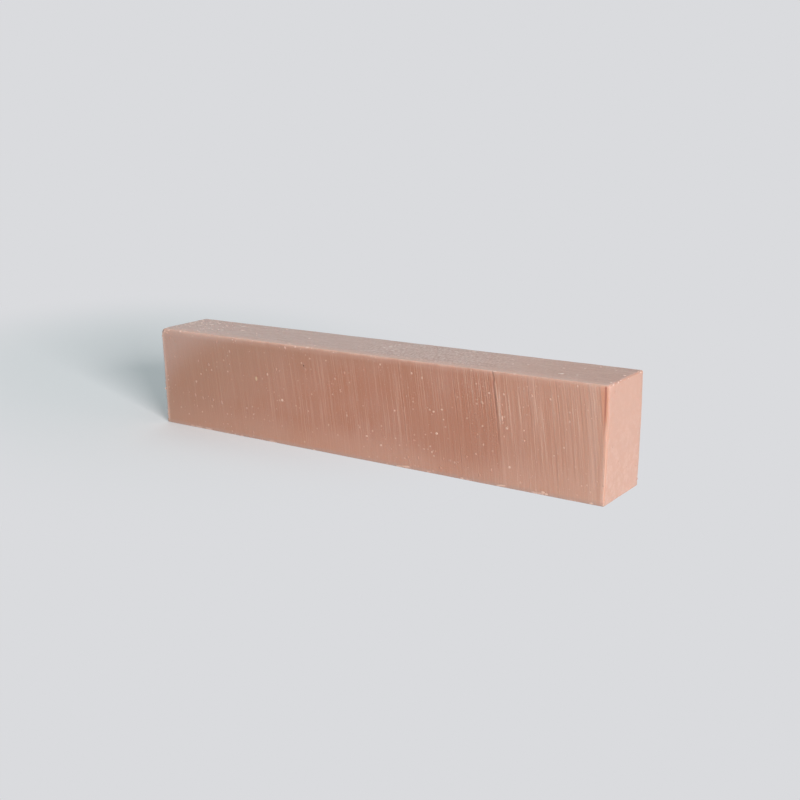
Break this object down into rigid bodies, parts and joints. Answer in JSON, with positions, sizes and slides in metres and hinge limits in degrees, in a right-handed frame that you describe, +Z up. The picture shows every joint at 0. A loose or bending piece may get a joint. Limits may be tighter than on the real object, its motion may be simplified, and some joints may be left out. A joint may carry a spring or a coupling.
{
  "type": "bar of soap",
  "caption": "Long rectangular bar of handmade soap with wire-cut sides, leaning ends and worn edges, to be sliced into cakes.",
  "frame": {"origin": "middle of the foot, on the surface that the bar stands on, in the middle of its length and width", "axes": "+X along the bar to its right end, +Y from the front to the back, +Z up"},
  "size_m": [0.3, 0.0384, 0.0595],
  "materials": {
    "soap": "waxy, dull on the cut faces, with dried crumbs and a pale bloom"
  },
  "bodies": {
    "root": {"soap_bar": "soap"}
  },
  "joints": []
}
